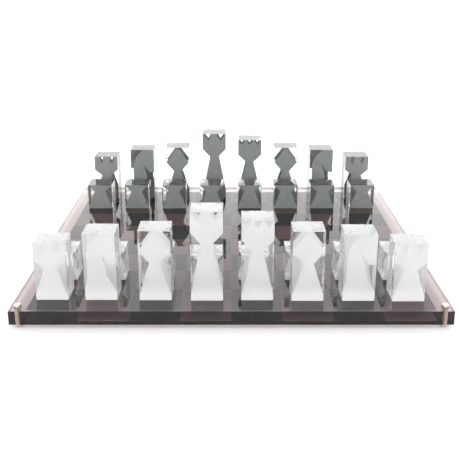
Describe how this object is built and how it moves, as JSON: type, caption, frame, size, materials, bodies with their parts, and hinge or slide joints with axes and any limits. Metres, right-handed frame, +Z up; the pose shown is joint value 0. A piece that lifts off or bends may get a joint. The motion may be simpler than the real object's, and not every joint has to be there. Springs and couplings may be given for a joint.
{
  "type": "chess set with board",
  "caption": "Chess set of clear square acrylic blocks with a frosted or charcoal chessman figure on front and back, standing on a thick clear board with dark and mauve squares and corner studs.",
  "frame": {"origin": "centre of the board on the surface it stands on, midway between the four feet", "axes": "+Z up; +X to the right of the player of the white men; +Y from the white side to the black side"},
  "size_m": [0.4, 0.4, 0.1027],
  "materials": {
    "slab_acrylic": "polished, faintly mauve",
    "dark_square_film": "gloss charcoal black, bonded under the slab",
    "light_square_film": "gloss mauve brown, bonded under the slab",
    "stud_metal": "polished nickel",
    "clear_acrylic": "polished",
    "white_figure": "frosted white",
    "black_figure": "satin charcoal with a green cast",
    "white_pawn_acrylic": "polished clear block with frosted white figures",
    "black_pawn_acrylic": "polished clear block with satin charcoal figures"
  },
  "bodies": {
    "board": {"clear_slab": "slab_acrylic", "dark_squares": "dark_square_film", "light_squares": "light_square_film", "stud_heads": "stud_metal", "stud_rods": "stud_metal", "stud_feet": "stud_metal"},
    "white_rook_left": {"white_rook_left_block": "clear_acrylic", "white_rook_left_figures": "white_figure"},
    "white_knight_left": {"white_knight_left_block": "clear_acrylic", "white_knight_left_figures": "white_figure"},
    "white_bishop_left": {"white_bishop_left_block": "clear_acrylic", "white_bishop_left_figures": "white_figure"},
    "white_king": {"white_king_block": "clear_acrylic", "white_king_figures": "white_figure"},
    "white_queen": {"white_queen_block": "clear_acrylic", "white_queen_figures": "white_figure"},
    "white_bishop_right": {"white_bishop_right_block": "clear_acrylic", "white_bishop_right_figures": "white_figure"},
    "white_knight_right": {"white_knight_right_block": "clear_acrylic", "white_knight_right_figures": "white_figure"},
    "white_rook_right": {"white_rook_right_block": "clear_acrylic", "white_rook_right_figures": "white_figure"},
    "white_pawn_1": {"white_pawn_1": "white_pawn_acrylic"},
    "white_pawn_2": {"white_pawn_2": "white_pawn_acrylic"},
    "white_pawn_3": {"white_pawn_3": "white_pawn_acrylic"},
    "white_pawn_4": {"white_pawn_4": "white_pawn_acrylic"},
    "white_pawn_5": {"white_pawn_5": "white_pawn_acrylic"},
    "white_pawn_6": {"white_pawn_6": "white_pawn_acrylic"},
    "white_pawn_7": {"white_pawn_7": "white_pawn_acrylic"},
    "white_pawn_8": {"white_pawn_8": "white_pawn_acrylic"},
    "black_rook_left": {"black_rook_left_block": "clear_acrylic", "black_rook_left_figures": "black_figure"},
    "black_knight_left": {"black_knight_left_block": "clear_acrylic", "black_knight_left_figures": "black_figure"},
    "black_bishop_left": {"black_bishop_left_block": "clear_acrylic", "black_bishop_left_figures": "black_figure"},
    "black_king": {"black_king_block": "clear_acrylic", "black_king_figures": "black_figure"},
    "black_queen": {"black_queen_block": "clear_acrylic", "black_queen_figures": "black_figure"},
    "black_bishop_right": {"black_bishop_right_block": "clear_acrylic", "black_bishop_right_figures": "black_figure"},
    "black_knight_right": {"black_knight_right_block": "clear_acrylic", "black_knight_right_figures": "black_figure"},
    "black_rook_right": {"black_rook_right_block": "clear_acrylic", "black_rook_right_figures": "black_figure"},
    "black_pawn_1": {"black_pawn_1": "black_pawn_acrylic"},
    "black_pawn_2": {"black_pawn_2": "black_pawn_acrylic"},
    "black_pawn_3": {"black_pawn_3": "black_pawn_acrylic"},
    "black_pawn_4": {"black_pawn_4": "black_pawn_acrylic"},
    "black_pawn_5": {"black_pawn_5": "black_pawn_acrylic"},
    "black_pawn_6": {"black_pawn_6": "black_pawn_acrylic"},
    "black_pawn_7": {"black_pawn_7": "black_pawn_acrylic"},
    "black_pawn_8": {"black_pawn_8": "black_pawn_acrylic"}
  },
  "joints": [
    {"name": "white_rook_left_lift", "type": "slide", "parent": "board", "child": "white_rook_left", "axis": [0, 0, 1], "range_m": [0, 0.09]},
    {"name": "white_knight_left_lift", "type": "slide", "parent": "board", "child": "white_knight_left", "axis": [0, 0, 1], "range_m": [0, 0.09]},
    {"name": "white_bishop_left_lift", "type": "slide", "parent": "board", "child": "white_bishop_left", "axis": [0, 0, 1], "range_m": [0, 0.09]},
    {"name": "white_king_lift", "type": "slide", "parent": "board", "child": "white_king", "axis": [0, 0, 1], "range_m": [0, 0.09]},
    {"name": "white_queen_lift", "type": "slide", "parent": "board", "child": "white_queen", "axis": [0, 0, 1], "range_m": [0, 0.09]},
    {"name": "white_bishop_right_lift", "type": "slide", "parent": "board", "child": "white_bishop_right", "axis": [0, 0, 1], "range_m": [0, 0.09]},
    {"name": "white_knight_right_lift", "type": "slide", "parent": "board", "child": "white_knight_right", "axis": [0, 0, 1], "range_m": [0, 0.09]},
    {"name": "white_rook_right_lift", "type": "slide", "parent": "board", "child": "white_rook_right", "axis": [0, 0, 1], "range_m": [0, 0.09]},
    {"name": "white_pawn_1_lift", "type": "slide", "parent": "board", "child": "white_pawn_1", "axis": [0, 0, 1], "range_m": [0, 0.09]},
    {"name": "white_pawn_2_lift", "type": "slide", "parent": "board", "child": "white_pawn_2", "axis": [0, 0, 1], "range_m": [0, 0.09]},
    {"name": "white_pawn_3_lift", "type": "slide", "parent": "board", "child": "white_pawn_3", "axis": [0, 0, 1], "range_m": [0, 0.09]},
    {"name": "white_pawn_4_lift", "type": "slide", "parent": "board", "child": "white_pawn_4", "axis": [0, 0, 1], "range_m": [0, 0.09]},
    {"name": "white_pawn_5_lift", "type": "slide", "parent": "board", "child": "white_pawn_5", "axis": [0, 0, 1], "range_m": [0, 0.09]},
    {"name": "white_pawn_6_lift", "type": "slide", "parent": "board", "child": "white_pawn_6", "axis": [0, 0, 1], "range_m": [0, 0.09]},
    {"name": "white_pawn_7_lift", "type": "slide", "parent": "board", "child": "white_pawn_7", "axis": [0, 0, 1], "range_m": [0, 0.09]},
    {"name": "white_pawn_8_lift", "type": "slide", "parent": "board", "child": "white_pawn_8", "axis": [0, 0, 1], "range_m": [0, 0.09]},
    {"name": "black_rook_left_lift", "type": "slide", "parent": "board", "child": "black_rook_left", "axis": [0, 0, 1], "range_m": [0, 0.09]},
    {"name": "black_knight_left_lift", "type": "slide", "parent": "board", "child": "black_knight_left", "axis": [0, 0, 1], "range_m": [0, 0.09]},
    {"name": "black_bishop_left_lift", "type": "slide", "parent": "board", "child": "black_bishop_left", "axis": [0, 0, 1], "range_m": [0, 0.09]},
    {"name": "black_king_lift", "type": "slide", "parent": "board", "child": "black_king", "axis": [0, 0, 1], "range_m": [0, 0.09]},
    {"name": "black_queen_lift", "type": "slide", "parent": "board", "child": "black_queen", "axis": [0, 0, 1], "range_m": [0, 0.09]},
    {"name": "black_bishop_right_lift", "type": "slide", "parent": "board", "child": "black_bishop_right", "axis": [0, 0, 1], "range_m": [0, 0.09]},
    {"name": "black_knight_right_lift", "type": "slide", "parent": "board", "child": "black_knight_right", "axis": [0, 0, 1], "range_m": [0, 0.09]},
    {"name": "black_rook_right_lift", "type": "slide", "parent": "board", "child": "black_rook_right", "axis": [0, 0, 1], "range_m": [0, 0.09]},
    {"name": "black_pawn_1_lift", "type": "slide", "parent": "board", "child": "black_pawn_1", "axis": [0, 0, 1], "range_m": [0, 0.09]},
    {"name": "black_pawn_2_lift", "type": "slide", "parent": "board", "child": "black_pawn_2", "axis": [0, 0, 1], "range_m": [0, 0.09]},
    {"name": "black_pawn_3_lift", "type": "slide", "parent": "board", "child": "black_pawn_3", "axis": [0, 0, 1], "range_m": [0, 0.09]},
    {"name": "black_pawn_4_lift", "type": "slide", "parent": "board", "child": "black_pawn_4", "axis": [0, 0, 1], "range_m": [0, 0.09]},
    {"name": "black_pawn_5_lift", "type": "slide", "parent": "board", "child": "black_pawn_5", "axis": [0, 0, 1], "range_m": [0, 0.09]},
    {"name": "black_pawn_6_lift", "type": "slide", "parent": "board", "child": "black_pawn_6", "axis": [0, 0, 1], "range_m": [0, 0.09]},
    {"name": "black_pawn_7_lift", "type": "slide", "parent": "board", "child": "black_pawn_7", "axis": [0, 0, 1], "range_m": [0, 0.09]},
    {"name": "black_pawn_8_lift", "type": "slide", "parent": "board", "child": "black_pawn_8", "axis": [0, 0, 1], "range_m": [0, 0.09]}
  ]
}
